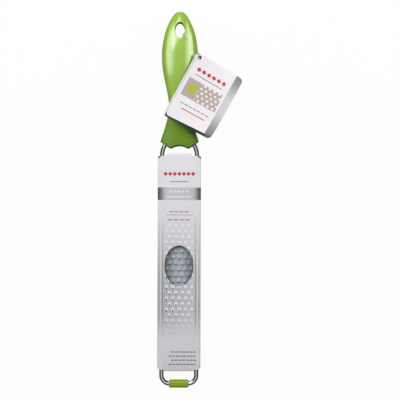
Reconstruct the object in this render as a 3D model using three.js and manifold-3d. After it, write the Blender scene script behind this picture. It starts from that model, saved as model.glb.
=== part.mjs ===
// A hand grater as it is sold: moulded handle, wire frame, pressed blade, soft foot,
// a card sleeve that slides off over the foot, and a folded tag on a nylon loop.
// It lies on its back: X across, Y from the foot to the handle's tip, Z up from the table.
// Y is counted from the foot's end while the pieces are made, and the last lines centre it.
import * as THREE from 'three';
import { mergeVertices } from 'three/addons/utils/BufferGeometryUtils.js';
import Module from 'manifold-3d';

const wasm = await Module();
wasm.setup();

// Driving dimensions, in millimetres and degrees.

// Wire frame
const wireDiameter = 3.8;
const wireHeight = 5.2; // centreline above the table
const railSpacing = 30.6; // between the centrelines of the two rails
const footBendRadius = 7.3; // centreline radius of the corners beside the foot
const shoulderRadius = 17; // centreline radius of the bends into the collar
const shoulderGap = 0.8; // from the sleeve's end to where those bends start
const tangSpacing = 11; // between the two legs inside the handle's neck
const tangReach = 40; // how far the legs go past the collar's corners

// Lengths along the grater
const footToSleeve = 16.3;
const bladeLength = 176;
const sleeveOverhang = 5.5; // how far the sleeve covers past each end of the blade
const sleeveToCollar = 12.7;
const handleLength = 114; // from the collar's corners to the tip

// Handle
const bellyWidth = 32;
const bellyCrown = 12; // front surface above the wire's centreline
const bellyFromCollar = 76;
const bellyPoint = 1.8; // exponent of the rounded tip, 2 would be an ellipse
const tipFlat = 0.02; // the rounded tip closes with the width it has this far from its end
const handleSides = 26;
const neckWidth = 18.8;
const neckCrown = 8.6;
const neckBack = 4.5; // back surface below the wire's centreline
const neckFromCollar = 30;
const collarWidth = 34.4;
const collarCrown = 8.8;
const collarBack = 4.7;
const collarToeSpacing = 15.4; // between the two low points of the collar's edge
const collarToeDrop = 6;
const collarArchRise = 3;
const hangHoleWidth = 8.6;
const hangHoleLength = 14.4;
const hangHoleFromTip = 17.2; // to the hole's centre
const hangHoleFlare = 1.1;
const wireSocketClearance = 0.3;

// Foot
const footWidth = 16.9;
const footHeight = 6.3;
const footThickness = 8.4;
const footChamfer = 1.1;
const footEdge = 0.7;
const footBoreClearance = 0.3;

// Blade
const bladeThickness = 0.5;
const curlClearance = 0.3; // between the curled edge and the rail
const curlSweep = 255;
const toothWidth = 3.8;
const toothLength = 3.3;
const toothHeight = 1.3;
const toothWall = 0.4;
const toothMouth = 0.7; // how far the hole reaches ahead of the cutting edge
const toothColumnPitch = 5.55;
const toothRowPitch = 5.2;
const plainEnd = 7; // blade left flat before the first and after the last row
const plainSide = 1.2; // and beside the outer teeth

// Sleeve
const cardThickness = 0.5;
const sleeveSideClearance = 0.4;
const sleeveFrontClearance = 0.4;
const sleeveFold = 1.2; // outer radius of the card's four long folds
const sleeveCornerRadius = 3.1; // of the front panel's corners
const windowWidth = 25.5;
const windowLength = 35.6;
const windowFromFoot = 107.1; // to the window's centre
const tabWidth = 22.9;
const tabLength = 2.2;
const tabDip = 0.7; // how far the end tabs bend towards the blade

// Tag
const tagWidth = 46;
const tagLength = 59.5;
const tagCorner = 4;
const tagThickness = 0.4;
const tagHoleDiameter = 3.6;
const tagHoleInset = 3.2; // from the fold and from the top edge
const tagTurn = 28; // clockwise, seen from the front
const tagFoldGap = 0.3; // between the two leaves at the fold
const tagPitch = 4.7; // lower edge raised by the handle's collar
const tagOpening = 9; // between the two leaves as they lie
const tagSeatGap = 0.3; // to the handle and the table
const tagBackDrop = 2.3; // how much lower the back leaf was cut at its free corner
const tagHoleBesideBelly = 1.2; // to the right of the handle's widest edge
const tagHoleBelowBelly = 3.4;

// Nylon loop
const tieDiameter = 0.6;
const tieSides = 8;
const lockWidth = 3;
const lockLength = 4.4;
const lockThickness = 2.4;
const lockEdge = 0.4;
const lockPlace = [21, 288, 1.5]; // its centre, beside the handle on the table
// The loop's way: up from the lock through both leaves of the tag, over the handle's edge,
// down through the hanging hole and back under the handle into the lock.
const tieRoute = [
  [20.6, 288.1, 3], [20.45, 288.15, 5], [19.7, 288.3, 8], [18.4, 288.5, 11.5],
  [17.5, 288.58, 14.6], [17.45, 288.58, 16], [17.1, 288.75, 17.7], [16.2, 289.2, 18.9],
  [14.8, 289.75, 19.35], [13.3, 290.35, 19.25], [11.8, 292.8, 18.6], [10.2, 298, 17.5],
  [7.5, 303.5, 16.5], [5.6, 306.4, 16.1], [4.4, 308.2, 15.4], [3.4, 309.4, 14],
  [2.8, 310, 12.2], [2.7, 310.1, 9], [2.7, 310.1, 6], [2.85, 309.9, 3.8],
  [3.4, 309.1, 1.9], [4.6, 307.4, 0.75], [6.5, 304.8, 0.52], [9.5, 300.8, 0.5],
  [13, 295.8, 0.6], [16.2, 291.7, 0.9], [18, 289.9, 1.2], [19.2, 288.8, 1.35],
];

// Derived places
const wireRadius = wireDiameter / 2;
const railX = railSpacing / 2;
const tangX = tangSpacing / 2;
const sleeveLow = footToSleeve;
const bladeLow = sleeveLow + sleeveOverhang;
const sleeveHigh = bladeLow + bladeLength + sleeveOverhang;
const collarY = sleeveHigh + sleeveToCollar;
const neckY = collarY + neckFromCollar;
const bellyY = collarY + bellyFromCollar;
const tipY = collarY + handleLength;
const crossBarY = footHeight / 2;
const sheetLow = wireHeight + wireRadius + curlClearance;
const sheetHigh = sheetLow + bladeThickness;
const teethHigh = sheetHigh + toothHeight;
const footHigh = wireHeight + footThickness / 2;
const sleeveInsideHigh = Math.max(footHigh, teethHigh) + tabDip + sleeveFrontClearance;
const sleeveHeight = sleeveInsideHigh + cardThickness;
const curlOuter = wireRadius + curlClearance + bladeThickness;
const sleeveHalf = railX + curlOuter + sleeveSideClearance + cardThickness;
const past = 2; // how far a cutter runs past what it cuts

const radians = THREE.MathUtils.degToRad;
const lerp = THREE.MathUtils.lerp;

// Solids

// A closed geometry from rings of equal point counts, joined by quads and capped at both ends.
function loft(rings) {
  const sides = rings[0].length;
  const faces = [];
  for (let ring = 0; ring + 1 < rings.length; ring += 1) {
    for (let side = 0; side < sides; side += 1) {
      const a = ring * sides + side;
      const b = ring * sides + (side + 1) % sides;
      faces.push(a, b, b + sides, a, b + sides, a + sides);
    }
  }
  const last = (rings.length - 1) * sides;
  for (let side = 1; side + 1 < sides; side += 1) {
    faces.push(0, side + 1, side);
    faces.push(last, last + side, last + side + 1);
  }
  return closed(rings.flat(), faces);
}

// Points and faces as a geometry, turned right side out.
function closed(points, faces) {
  const six = (a, b, c) => points[a].dot(new THREE.Vector3().crossVectors(points[b], points[c]));
  let volume = 0;
  for (let at = 0; at < faces.length; at += 3) {
    volume += six(faces[at], faces[at + 1], faces[at + 2]);
  }
  const geometry = new THREE.BufferGeometry().setFromPoints(points);
  geometry.setIndex(volume > 0 ? faces : faces.slice().reverse());
  return geometry;
}

// A round tube through points, with flat ends square to its ends.
function tube(points, radius, sides) {
  const tangents = points.map((point, at) => {
    const before = points[Math.max(at - 1, 0)];
    const after = points[Math.min(at + 1, points.length - 1)];
    return after.clone().sub(before).normalize();
  });
  let across = new THREE.Vector3(0, 0, 1);
  const rings = points.map((point, at) => {
    across = across.clone().projectOnPlane(tangents[at]).normalize();
    const other = new THREE.Vector3().crossVectors(tangents[at], across);
    return Array.from({ length: sides }, (_, side) => {
      const turn = (2 * Math.PI * (side + 0.5)) / sides;
      return point.clone()
        .addScaledVector(across, radius * Math.cos(turn))
        .addScaledVector(other, radius * Math.sin(turn));
    });
  });
  return loft(rings);
}

// A flat outline in X and Y, raised from one height to another.
function plate(shape, low, high, curveSegments = 8) {
  const depth = high - low;
  const geometry = new THREE.ExtrudeGeometry(shape, { depth, curveSegments, bevelEnabled: false });
  return geometry.translate(0, 0, low);
}

function ellipse(x, y, width, length) {
  return new THREE.Shape().absellipse(x, y, width / 2, length / 2, 0, 2 * Math.PI);
}

// Joins and cuts

function solid(geometry) {
  const bare = geometry.clone();
  bare.deleteAttribute('normal');
  bare.deleteAttribute('uv');
  const merged = mergeVertices(bare, 1e-4);
  return new wasm.Manifold(new wasm.Mesh({
    numProp: 3,
    vertProperties: Float32Array.from(merged.attributes.position.array),
    triVerts: Uint32Array.from(merged.index.array),
  }));
}

function geometryOf(manifold) {
  const mesh = manifold.getMesh();
  const geometry = new THREE.BufferGeometry();
  geometry.setAttribute('position', new THREE.BufferAttribute(mesh.vertProperties, 3));
  geometry.setIndex(new THREE.BufferAttribute(mesh.triVerts, 1));
  return geometry;
}

const join = (pieces) => wasm.Manifold.union(pieces);
const cut = (body, cutters) => geometryOf(body.subtract(join(cutters)));

// Wire frame

// The right leg from inside the handle down to the rail, as an S bend of two equal arcs.
function addRightLeg(path, tangEnd, railEnd) {
  const bend = Math.acos(1 - (railX - tangX) / (2 * shoulderRadius));
  const start = sleeveHigh + shoulderGap;
  const rise = 2 * shoulderRadius * Math.sin(bend);
  path.moveTo(tangX, tangEnd);
  path.lineTo(tangX, start + rise);
  path.absarc(tangX + shoulderRadius, start + rise, shoulderRadius, Math.PI, Math.PI + bend);
  path.absarc(railX - shoulderRadius, start, shoulderRadius, bend, 0, true);
  path.lineTo(railX, railEnd);
  return path;
}

const inWirePlane = (point) => new THREE.Vector3(point.x, point.y, wireHeight);
const mirrored = (point) => new THREE.Vector3(-point.x, point.y, point.z);

function frameWire() {
  const tangEnd = collarY + tangReach;
  const half = addRightLeg(new THREE.Path(), tangEnd, crossBarY + footBendRadius);
  const turnX = railX - footBendRadius;
  half.absarc(turnX, crossBarY + footBendRadius, footBendRadius, 0, -Math.PI / 2, true);
  const right = half.getPoints(3).map(inWirePlane);
  const left = right.map(mirrored).reverse();
  return tube([...right, ...left], wireRadius, 12);
}

// Handle

function handleHalfWidth(y) {
  if (y >= bellyY) {
    const along = Math.min((y - bellyY) / (tipY - bellyY), 1);
    return (bellyWidth / 2) * (1 - along ** bellyPoint) ** (1 / bellyPoint);
  }
  if (y >= neckY) {
    return handleBlend(y, neckWidth / 2, bellyWidth / 2);
  }
  return lerp(neckWidth / 2, collarWidth / 2, collarShare(y));
}

// The soft rise from the neck to the belly, fuller towards the belly.
function handleBlend(y, atNeck, atBelly) {
  const down = ((bellyY - y) / (bellyY - neckY)) ** 1.15;
  return lerp(atBelly, atNeck, THREE.MathUtils.smoothstep(down, 0, 1));
}

// The flare from the neck to the collar, which goes on below the collar's corners.
function collarShare(y) {
  return Math.min((neckY - y) / neckFromCollar, 1) ** 1.5;
}

function handleCrown(y) {
  if (y >= bellyY) {
    return (bellyCrown * handleHalfWidth(y)) / (bellyWidth / 2);
  }
  if (y >= neckY) {
    return handleBlend(y, neckCrown, bellyCrown);
  }
  return lerp(neckCrown, collarCrown, collarShare(y));
}

// The belly's back rests on the table, and the back rises towards the tip.
function handleBack(y) {
  if (y >= bellyY) {
    return wireHeight * (handleHalfWidth(y) / (bellyWidth / 2)) ** 2;
  }
  if (y >= neckY) {
    return handleBlend(y, neckBack, wireHeight);
  }
  return lerp(neckBack, collarBack, collarShare(y));
}

function handleFront(x, y) {
  const half = handleHalfWidth(y);
  const across = Math.min(Math.abs(x) / half, 1);
  return wireHeight + handleCrown(y) * Math.sqrt(1 - across ** 2);
}

function handleRing(y) {
  return Array.from({ length: handleSides }, (_, side) => {
    const turn = (2 * Math.PI * side) / handleSides;
    const lift = Math.sin(turn) * (Math.sin(turn) > 0 ? handleCrown(y) : handleBack(y));
    return new THREE.Vector3(handleHalfWidth(y) * Math.cos(turn), y, wireHeight + lift);
  });
}

function handle() {
  const toeY = collarY - collarToeDrop;
  const stations = [toeY - past];
  const spread = (from, to, count) => {
    for (let step = 0; step < count; step += 1) {
      stations.push(lerp(from, to, step / count));
    }
  };
  spread(collarY, neckY, 7);
  spread(neckY, bellyY, 9);
  const tipSteps = 11;
  for (let step = 0; step < tipSteps; step += 1) {
    stations.push(lerp(bellyY, tipY, Math.sin(radians((87 * step) / tipSteps))));
  }
  const rings = stations.map(handleRing);
  rings.push(handleRing(tipY - tipFlat).map((point) => point.setY(tipY)));
  const body = solid(loft(rings));
  return cut(body, [solid(collarEdge()), solid(hangHole()), ...wireSockets()]);
}

// Everything below the collar's edge: two straight slopes, two toes and the arch between them.
function collarEdge() {
  const toeX = collarToeSpacing / 2;
  const toeY = collarY - collarToeDrop;
  const slope = collarToeDrop / (collarWidth / 2 - toeX);
  const outX = collarWidth / 2 + past;
  const shape = new THREE.Shape();
  shape.moveTo(-outX, toeY - 2 * past);
  shape.lineTo(outX, toeY - 2 * past);
  shape.lineTo(outX, collarY + slope * past);
  shape.lineTo(toeX, toeY);
  shape.quadraticCurveTo(0, toeY + 2 * collarArchRise, -toeX, toeY);
  shape.lineTo(-outX, collarY + slope * past);
  return plate(shape, -past, wireHeight + collarCrown + past, 7);
}

// The hanging hole, flared where it meets the front and the back.
function hangHole() {
  const y = tipY - hangHoleFromTip;
  const front = handleFront(hangHoleWidth / 2, y);
  const back = wireHeight - handleBack(y);
  const levels = [
    [back - past, hangHoleFlare + past],
    [back + hangHoleFlare, 0],
    [front - hangHoleFlare, 0],
    [front + past, hangHoleFlare + past],
  ];
  return loft(levels.map(([z, grow]) => {
    const curve = ellipse(0, y, hangHoleWidth + 2 * grow, hangHoleLength + 2 * grow);
    return curve.getPoints(11).slice(1).map((point) => new THREE.Vector3(point.x, point.y, z));
  }));
}

function wireSockets() {
  const end = collarY + tangReach + wireSocketClearance;
  const points = addRightLeg(new THREE.Path(), end, sleeveHigh - past).getPoints(3);
  const right = points.map(inWirePlane);
  const radius = wireRadius + wireSocketClearance;
  return [right, right.map(mirrored)].map((leg) => solid(tube(leg, radius, 12)));
}

// Foot

function footGrip() {
  const halfX = footWidth / 2 - footEdge;
  const halfY = footHeight / 2 - footEdge;
  const shape = new THREE.Shape();
  shape.moveTo(-halfX + footChamfer, -halfY);
  shape.lineTo(halfX - footChamfer, -halfY);
  shape.lineTo(halfX, -halfY + footChamfer);
  shape.lineTo(halfX, halfY - footChamfer);
  shape.lineTo(halfX - footChamfer, halfY);
  shape.lineTo(-halfX + footChamfer, halfY);
  shape.lineTo(-halfX, halfY - footChamfer);
  shape.lineTo(-halfX, -halfY + footChamfer);
  const block = new THREE.ExtrudeGeometry(shape, {
    depth: footThickness - 2 * footEdge,
    bevelThickness: footEdge,
    bevelSize: footEdge,
    bevelSegments: 2,
  });
  block.translate(0, crossBarY, wireHeight - footThickness / 2 + footEdge);
  const reach = footWidth / 2 + past;
  const ends = [-reach, reach].map((x) => new THREE.Vector3(x, crossBarY, wireHeight));
  return cut(solid(block), [solid(tube(ends, wireRadius + footBoreClearance, 16))]);
}

// Blade

// The sheet's section: flat across the front of the rails, curled round the outside of both.
function bladeSheet() {
  const inner = wireRadius + curlClearance;
  const top = Math.PI / 2;
  const sweep = radians(curlSweep);
  const section = new THREE.Shape();
  section.absarc(railX, wireHeight, curlOuter, top - sweep, top, false);
  section.absarc(-railX, wireHeight, curlOuter, top, top + sweep, false);
  section.absarc(-railX, wireHeight, inner, top + sweep, top, true);
  section.absarc(railX, wireHeight, inner, top, top - sweep, true);
  const sheet = plate(section, 0, bladeLength, 6);
  return sheet.rotateX(Math.PI / 2).translate(0, bladeLow + bladeLength, 0);
}

// One tooth's hood, or with its wall taken off, the hollow under it, both open towards the foot.
// The shares say how far back along the tooth its sections lie.
function toothScoop(x, y, shares, thinner, low, lead) {
  const half = toothWidth / 2 - thinner;
  const tall = toothHeight - thinner;
  const long = toothLength - thinner;
  const rings = shares.map((share) => {
    const narrow = Math.sqrt(1 - share ** 2);
    const lower = 1 - share ** 2;
    const ahead = share === 0 ? lead : 0;
    const arch = [180, 125, 55, 0].map((angle) => new THREE.Vector3(
      x + half * narrow * Math.cos(radians(angle)),
      y + long * share - ahead,
      sheetHigh + tall * lower * Math.sin(radians(angle)),
    ));
    const floor = [arch[3], arch[0]].map((point) => new THREE.Vector3(point.x, point.y, low));
    return [...arch, ...floor];
  });
  return solid(loft(rings));
}

function toothPlaces() {
  const flatHalf = railX - plainSide - toothWidth / 2;
  const rows = Math.floor((bladeLength - 2 * plainEnd - toothLength) / toothRowPitch) + 1;
  const first = bladeLow + (bladeLength - (rows - 1) * toothRowPitch - toothLength) / 2;
  const wide = 2 * Math.floor(flatHalf / toothColumnPitch) + 1;
  const places = [];
  for (let row = 0; row < rows; row += 1) {
    const columns = row % 2 === 0 ? wide : wide - 1;
    for (let column = 0; column < columns; column += 1) {
      const x = (column - (columns - 1) / 2) * toothColumnPitch;
      places.push([x, first + row * toothRowPitch]);
    }
  }
  return places;
}

function gratingBlade() {
  const places = toothPlaces();
  const middle = (sheetLow + sheetHigh) / 2;
  const hoods = places.map(([x, y]) => toothScoop(x, y, [0, 0.62, 0.97], 0, middle, 0));
  const below = sheetLow - bladeThickness;
  const hollows = places.map(
    ([x, y]) => toothScoop(x, y, [0, 0.9], toothWall, below, toothMouth),
  );
  return cut(join([solid(bladeSheet()), ...hoods]), hollows);
}

// Sleeve

function roundedBox(halfX, low, high, radius, y) {
  const shape = new THREE.Shape();
  shape.absarc(halfX - radius, high - radius, radius, 0, Math.PI / 2);
  shape.absarc(-halfX + radius, high - radius, radius, Math.PI / 2, Math.PI);
  shape.absarc(-halfX + radius, low + radius, radius, Math.PI, 1.5 * Math.PI);
  shape.absarc(halfX - radius, low + radius, radius, 1.5 * Math.PI, 2 * Math.PI);
  return shape.getPoints(2).map((point) => new THREE.Vector3(point.x, y, point.y));
}

// What is taken off one corner of the front panel and the side wall under it.
function panelCorner(side, end) {
  const x = side * sleeveHalf;
  const y = end > 0 ? sleeveHigh : sleeveLow;
  const centreX = x - side * sleeveCornerRadius;
  const centreY = y - end * sleeveCornerRadius;
  const from = side > 0 ? 0 : Math.PI;
  const to = (end * Math.PI) / 2;
  const shape = new THREE.Shape();
  shape.moveTo(x + side * past, y + end * past);
  shape.lineTo(x + side * past, centreY);
  const shortWay = side * end > 0;
  shape.absarc(centreX, centreY, sleeveCornerRadius, from, to, !shortWay);
  shape.lineTo(centreX, y + end * past);
  return solid(plate(shape, sleeveHeight / 2, sleeveHeight + past, 4));
}

function endTab(end) {
  const root = end > 0 ? sleeveHigh : sleeveLow;
  const stations = [
    [-past, 0, tabWidth / 2],
    [0, 0, tabWidth / 2],
    [tabLength * 0.6, tabDip * 0.5, tabWidth / 2],
    [tabLength, tabDip, tabWidth / 2 - tabLength * 0.4],
  ];
  return solid(loft(stations.map(([out, dip, half]) => {
    const low = sleeveInsideHigh - dip;
    const high = sleeveHeight - dip;
    const y = root + end * out;
    return [[half, low], [half, high], [-half, high], [-half, low]]
      .map(([x, z]) => new THREE.Vector3(x, y, z));
  })));
}

function cardSleeve() {
  const ring = (inset, y) => roundedBox(
    sleeveHalf - inset, inset, sleeveHeight - inset, sleeveFold - inset, y,
  );
  const outside = solid(loft([ring(0, sleeveLow), ring(0, sleeveHigh)]));
  const inside = loft([ring(cardThickness, sleeveLow - past), ring(cardThickness, sleeveHigh + past)]);
  const window = ellipse(0, windowFromFoot, windowWidth, windowLength);
  const corners = [[1, 1], [1, -1], [-1, 1], [-1, -1]].map(([side, end]) => panelCorner(side, end));
  const openings = [solid(inside), solid(plate(window, sleeveHeight / 2, sleeveHeight + past, 16))];
  const shell = outside.subtract(join([...openings, ...corners]));
  return geometryOf(join([shell, endTab(1), endTab(-1)]));
}

// Tag

// One leaf, with the tie's hole at the local origin and the fold on its left edge.
function tagLeaf(drop) {
  const left = -tagHoleInset;
  const right = tagWidth - tagHoleInset;
  const top = tagHoleInset;
  const bottom = tagHoleInset - tagLength;
  const round = tagCorner;
  const shape = new THREE.Shape();
  shape.moveTo(left, bottom + round);
  shape.quadraticCurveTo(left, bottom, left + round, bottom - (drop * round) / tagWidth);
  shape.lineTo(right - round, bottom - drop * (1 - round / tagWidth));
  shape.quadraticCurveTo(right, bottom - drop, right, bottom - drop + round);
  shape.lineTo(right, top - round);
  shape.quadraticCurveTo(right, top, right - round, top);
  shape.lineTo(left + round, top);
  shape.quadraticCurveTo(left, top, left, top - round);
  shape.closePath();
  shape.holes.push(ellipse(0, 0, tagHoleDiameter, tagHoleDiameter));
  return plate(shape, -tagThickness / 2, tagThickness / 2, 7);
}

// The back leaf's turn on the table: its free edge droops beside the handle.
function leafTurn(tilt) {
  return new THREE.Euler(-radians(tagPitch), tilt, -radians(tagTurn), 'ZXY');
}

// How high the tie's hole in the back leaf lies where the leaf, tilted so, seats on the handle.
function seatHeight(tilt, holeX, holeY) {
  const toLeaf = new THREE.Matrix4().makeRotationFromEuler(leafTurn(tilt)).invert();
  const upright = new THREE.Vector3(0, 0, 1).applyEuler(leafTurn(tilt)).z;
  let height = 0;
  for (let y = collarY; y < tipY; y += 1) {
    for (let share = -1; share <= 1; share += 0.05) {
      const x = share * handleHalfWidth(y);
      const point = new THREE.Vector3(x - holeX, y - holeY, handleFront(x, y)).applyMatrix4(toLeaf);
      const inLength = point.y < tagHoleInset + past && point.y > tagHoleInset - tagLength - past;
      if (inLength && point.x > -tagHoleInset - past) {
        height = Math.max(height, (point.z + tagThickness / 2 + tagSeatGap) / upright);
      }
    }
  }
  return height;
}

// The tilt at which the leaf's free top corner reaches the table.
function restingTilt(holeX, holeY) {
  const corner = (tilt) => {
    const low = new THREE.Vector3(tagWidth - tagHoleInset, tagHoleInset, -tagThickness / 2);
    return seatHeight(tilt, holeX, holeY) + low.applyEuler(leafTurn(tilt)).z;
  };
  let tilt = radians(5);
  while (corner(tilt) > tagSeatGap && tilt < radians(60)) {
    tilt += radians(0.05);
  }
  return tilt;
}

// Nylon loop

function tagTie() {
  return tube(tieRoute.map((point) => new THREE.Vector3(...point)), tieDiameter / 2, tieSides);
}

function tieLock() {
  const halfX = lockWidth / 2 - lockEdge;
  const halfY = lockLength / 2 - lockEdge;
  const shape = new THREE.Shape();
  shape.moveTo(-halfX, -halfY);
  shape.lineTo(halfX, -halfY);
  shape.lineTo(halfX, halfY);
  shape.lineTo(-halfX, halfY);
  const block = new THREE.ExtrudeGeometry(shape, {
    depth: lockThickness - 2 * lockEdge,
    bevelThickness: lockEdge,
    bevelSize: lockEdge,
    bevelSegments: 2,
  });
  return block.translate(0, 0, lockEdge - lockThickness / 2).translate(...lockPlace);
}

// Assembly

const grater = new THREE.Group();

function add(group, name, geometry, colour, roughness, metalness) {
  const material = new THREE.MeshStandardMaterial({ color: colour, roughness, metalness });
  const mesh = new THREE.Mesh(geometry, material);
  mesh.name = name;
  group.add(mesh);
}

add(grater, 'handle', handle(), 0x9cc040, 0.22, 0);
add(grater, 'frame_wire', frameWire(), 0xc9ccd0, 0.18, 1);
add(grater, 'grating_blade', gratingBlade(), 0xa9aeb6, 0.32, 1);
add(grater, 'foot_grip', footGrip(), 0x8cb030, 0.55, 0);
add(grater, 'card_sleeve', cardSleeve(), 0xd8d7dd, 0.45, 0);

const tagX = bellyWidth / 2 + tagHoleBesideBelly;
const tagY = bellyY - tagHoleBelowBelly;
const tilt = restingTilt(tagX, tagY);
const tagZ = seatHeight(tilt, tagX, tagY);
const backLeaf = new THREE.Group();
backLeaf.position.set(tagX, tagY, tagZ);
backLeaf.rotation.copy(leafTurn(tilt));
add(backLeaf, 'tag_back_leaf', tagLeaf(tagBackDrop), 0xd9d9dc, 0.5, 0);

const frontLeaf = new THREE.Group();
const leafStep = (tagThickness + tagFoldGap) / 2;
frontLeaf.position.set(-tagHoleInset, 0, leafStep);
frontLeaf.rotation.y = -radians(tagOpening);
backLeaf.add(frontLeaf);
const frontGeometry = tagLeaf(0).translate(tagHoleInset, 0, leafStep);
add(frontLeaf, 'tag_front_leaf', frontGeometry, 0xeceaee, 0.45, 0);
grater.add(backLeaf);

add(grater, 'tag_tie', tagTie(), 0xeef0f0, 0.2, 0);
add(grater, 'tie_lock', tieLock(), 0xeef0f0, 0.3, 0);

grater.position.y = -tipY / 2;

export default grater;
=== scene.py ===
"""A slim hand grater in its card sleeve, with a folded hang tag on a clear nylon loop.

The file is laid out as an add-on: the property groups hold the sizes and colours, each operator
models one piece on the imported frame, and the stage holds the floor, the lights and the camera.
Lengths are in metres, in the frame's axes: X across, Y from the foot to the handle, Z up.
"""
import math

import bmesh
import bpy
from bpy.props import FloatProperty, FloatVectorProperty, IntProperty, PointerProperty
from mathutils import Matrix, Vector


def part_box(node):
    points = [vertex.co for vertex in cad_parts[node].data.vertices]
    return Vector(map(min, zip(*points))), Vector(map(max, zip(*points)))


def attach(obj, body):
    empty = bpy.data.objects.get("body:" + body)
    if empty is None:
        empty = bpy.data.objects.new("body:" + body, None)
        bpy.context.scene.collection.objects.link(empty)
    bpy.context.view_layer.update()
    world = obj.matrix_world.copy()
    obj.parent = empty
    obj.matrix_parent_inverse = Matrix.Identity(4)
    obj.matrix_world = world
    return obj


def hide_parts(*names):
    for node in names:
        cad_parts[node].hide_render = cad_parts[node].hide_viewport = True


bl_info = {
    "name": "Hand grater",
    "version": (1, 0, 0),
    "blender": (4, 5, 0),
    "location": "View3D > Sidebar > Grater",
    "description": "Models a hand grater with its card sleeve and hang tag on the packed frame",
    "category": "Add Mesh",
}

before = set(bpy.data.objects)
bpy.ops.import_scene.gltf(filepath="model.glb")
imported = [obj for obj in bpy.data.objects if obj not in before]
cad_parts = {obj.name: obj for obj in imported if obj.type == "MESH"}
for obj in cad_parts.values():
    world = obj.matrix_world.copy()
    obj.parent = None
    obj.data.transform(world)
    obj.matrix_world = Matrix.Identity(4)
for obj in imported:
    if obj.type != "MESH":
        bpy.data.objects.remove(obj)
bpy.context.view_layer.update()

MM = 0.001
HANDLE_LOW, HANDLE_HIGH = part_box("handle")
WIRE_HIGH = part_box("frame_wire")[1]
BLADE_LOW, BLADE_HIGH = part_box("grating_blade")
FOOT_LOW, FOOT_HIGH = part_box("foot_grip")
SLEEVE_LOW, SLEEVE_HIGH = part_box("card_sleeve")
LOCK_LOW, LOCK_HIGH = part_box("tie_lock")
FOOT_MIDDLE = (FOOT_LOW + FOOT_HIGH) / 2
WIRE_Z = FOOT_MIDDLE.z
CUT_PAST = 2 * MM  # how far a cutter runs past what it cuts
SAME_PLACE = 0.01 * MM  # points that are nearer than this are one
CURL_ANGLE = math.radians(255)  # how far the blade's edge goes round its rail
LEAF_STRIPS, LEAF_ROWS = 10, 14  # what a leaf of the tag is divided into, to curl
# Steps of an end tab: shares of its length, how it narrows, and shares of its dip.
TAB_STEPS = [(0.45, 1, 0.3), (0.35, 0.97, 0.35), (0.2, 0.95, 0.35)]

# The nylon loop's centreline, from the lock up through the tag and the hanging hole and back.
LOOP_ROUTE_MM = [
    (20.6, 123.1, 3.0), (20.45, 123.15, 5.0), (19.7, 123.3, 8.0), (18.4, 123.5, 11.5),
    (17.5, 123.58, 14.6), (17.45, 123.58, 16.0), (17.1, 123.75, 17.7), (16.2, 124.2, 18.9),
    (14.8, 124.75, 19.35), (13.3, 125.35, 19.25), (11.8, 127.8, 18.6), (10.2, 133.0, 17.5),
    (7.5, 138.5, 16.5), (5.6, 141.4, 16.1), (4.4, 143.2, 15.4), (3.4, 144.4, 14.0),
    (2.8, 145.0, 12.2), (2.7, 145.1, 9.0), (2.7, 145.1, 6.0), (2.85, 144.9, 3.8),
    (3.4, 144.1, 1.9), (4.6, 142.4, 0.75), (6.5, 139.8, 0.52), (9.5, 135.8, 0.5),
    (13.0, 130.8, 0.6), (16.2, 126.7, 0.9), (18.0, 124.9, 1.2), (19.2, 123.8, 1.35),
]

# How the tag lies: where the hole in its corner is, and how the leaves' own axes are turned.
TAG_HOLE = Vector((17.2, 123.6, 15.045)) * MM
TAG_ALONG = Vector((0.46789, 0.87998, -0.08194))
TAG_NORMAL = Vector((0.33243, -0.08933, 0.93889))

# Places on the finishes, in millimetres. A pair is where something starts and where it is full.
COLLAR_DULL_AND_SHADE_MM = (98, 72)  # the collar's duller plastic and its painted shade, along the handle
BLADE_PAINTED_SHEEN_MM = (9.5, 2)  # the blade's painted sheen: a brighter middle, across it
FRONT_FADE_MM = (9.4, 10.3)  # the print of the sleeve's front, by height
FIELD_FADES_MM = ((-127, -96), (-12, -24))  # the field of spots, from its two ends
FIELD_DEEP_MM = (-18, -78)  # the field's darker part
FIELD_LEFT_MM = (14, -14)  # its left side
SPOT_EDGE_MM = (12.5, 12.1)  # the spots, from the sides
SPOT_SHIFT_MM = 0.2  # of the spots, to the right
SPOT_PITCH_MM = (5.6, 4.887)  # between columns and between rows
HOOD_START_MM, HOOD_SIZE_MM = 4.14, (1.8, 2.0)  # a row's start, and a pale spot's half size
NOTCH_START_MM, NOTCH_SIZE_MM = 2.9, (0.95, 1.05)  # the same of the dark notches
BAND_MM = (-0.4, 10.6)  # low and high side of the band round the sleeve
BAND_ENDS_MM = (11.0, 18.6)  # the band's dark ends
# The low edge and the left end of each of the small lines at the foot end.
SMALL_LINES_MM = [(-144.5 + 3.6 * k, -9 + 2.4 * (k % 2)) for k in range(4)]


def length(name, description, millimetres):
    """A size that a user may change, written in millimetres."""
    return FloatProperty(
        name=name, description=description, default=millimetres * MM, min=0,
        precision=5, unit="LENGTH",
    )


def colour(name, description, red, green, blue):
    """A colour that a user may change, written in the 0 to 255 values of a screen."""
    levels = [value / 255 for value in (red, green, blue)]
    linear = [v / 12.92 if v <= 0.04045 else ((v + 0.055) / 1.055) ** 2.4 for v in levels]
    return FloatVectorProperty(
        name=name, description=description, default=linear, size=3, min=0, max=1,
        subtype="COLOR",
    )


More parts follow.
